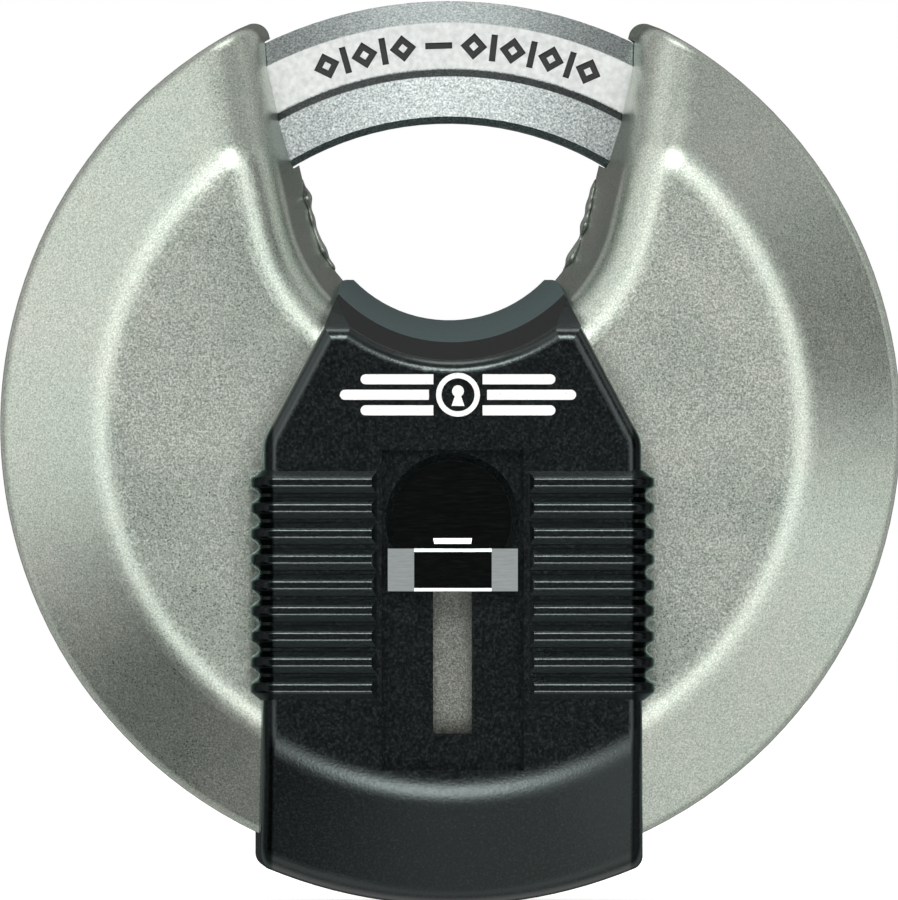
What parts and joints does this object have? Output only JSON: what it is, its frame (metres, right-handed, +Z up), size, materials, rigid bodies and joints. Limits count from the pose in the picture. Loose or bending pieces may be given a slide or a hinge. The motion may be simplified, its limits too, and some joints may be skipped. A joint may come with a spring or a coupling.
{
  "type": "disc padlock",
  "caption": "Shrouded disc padlock with a blasted steel body, curved rotating shackle, black ribbed plastic cover and a sliding keyway shutter.",
  "frame": {"origin": "centre of the throat, on the mid-plane, where the hasp's staple stands", "axes": "+Z up through the shackle's top, +X to the right seen from the front, and -Y out of the front with the keyway"},
  "size_m": [0.07, 0.0345, 0.0703],
  "materials": {
    "blasted_steel": "bead blasted",
    "shackle_steel": "plated, satin with a polished flat",
    "cover_plastic": "fine textured black",
    "shutter_chrome": "polished",
    "brass": "machined",
    "die_cast_zinc": "as cast",
    "drive_steel": "zinc plated"
  },
  "bodies": {
    "case": {"front_shell": "blasted_steel", "rear_shell": "blasted_steel", "weld_seam": "blasted_steel", "front_chassis": "die_cast_zinc", "rear_chassis": "die_cast_zinc", "chassis_screws": "drive_steel", "cylinder_shell": "brass", "chamber_cap": "brass", "pin_spring_1": "drive_steel", "pin_spring_2": "drive_steel", "pin_spring_3": "drive_steel", "pin_spring_4": "drive_steel", "front_cover": "cover_plastic", "rear_cover": "cover_plastic"},
    "shackle": {"shackle": "shackle_steel", "carrier_arm": "shackle_steel", "carrier_rivets": "shackle_steel"},
    "plug": {"plug": "brass", "drive_crank": "drive_steel", "crank_pin": "drive_steel", "retaining_clip": "drive_steel"},
    "shutter": {"shutter": "shutter_chrome"},
    "driver_pin_1": {"driver_pin_1": "brass"},
    "key_pin_1": {"key_pin_1": "brass"},
    "driver_pin_2": {"driver_pin_2": "brass"},
    "key_pin_2": {"key_pin_2": "brass"},
    "driver_pin_3": {"driver_pin_3": "brass"},
    "key_pin_3": {"key_pin_3": "brass"},
    "driver_pin_4": {"driver_pin_4": "brass"},
    "key_pin_4": {"key_pin_4": "brass"}
  },
  "joints": [
    {"name": "shackle_turn", "type": "hinge", "parent": "case", "child": "shackle", "pos_m": [0, 0, -0.0186], "axis": [0, 1, 0], "range_deg": [0, 70]},
    {"name": "plug_turn", "type": "hinge", "parent": "case", "child": "plug", "pos_m": [0, 0, -0.0259], "axis": [0, 1, 0], "range_deg": [0, 140]},
    {"name": "shutter_slide", "type": "slide", "parent": "case", "child": "shutter", "axis": [0, 0, -1], "range_m": [0, 0.0106]},
    {"name": "driver_pin_1_slide", "type": "slide", "parent": "case", "child": "driver_pin_1", "axis": [0, 0, -1], "range_m": [0, 0.0012], "stiffness_N_per_m": 300, "springref_m": -0.003, "deforming": ["pin_spring_1"]},
    {"name": "driver_pin_2_slide", "type": "slide", "parent": "case", "child": "driver_pin_2", "axis": [0, 0, -1], "range_m": [0, 0.0012], "stiffness_N_per_m": 300, "springref_m": -0.003, "deforming": ["pin_spring_2"]},
    {"name": "driver_pin_3_slide", "type": "slide", "parent": "case", "child": "driver_pin_3", "axis": [0, 0, -1], "range_m": [0, 0.0012], "stiffness_N_per_m": 300, "springref_m": -0.003, "deforming": ["pin_spring_3"]},
    {"name": "driver_pin_4_slide", "type": "slide", "parent": "case", "child": "driver_pin_4", "axis": [0, 0, -1], "range_m": [0, 0.0012], "stiffness_N_per_m": 300, "springref_m": -0.003, "deforming": ["pin_spring_4"]},
    {"name": "key_pin_1_lift", "type": "slide", "parent": "plug", "child": "key_pin_1", "axis": [0, 0, 1], "range_m": [0, 0.0008]},
    {"name": "key_pin_2_lift", "type": "slide", "parent": "plug", "child": "key_pin_2", "axis": [0, 0, 1], "range_m": [0, 0.0008]},
    {"name": "key_pin_3_lift", "type": "slide", "parent": "plug", "child": "key_pin_3", "axis": [0, 0, 1], "range_m": [0, 0.0008]},
    {"name": "key_pin_4_lift", "type": "slide", "parent": "plug", "child": "key_pin_4", "axis": [0, 0, 1], "range_m": [0, 0.0008]}
  ],
  "couplings": [
    {"joint": "plug_turn", "follows": "shackle_turn", "ratio": 2}
  ]
}
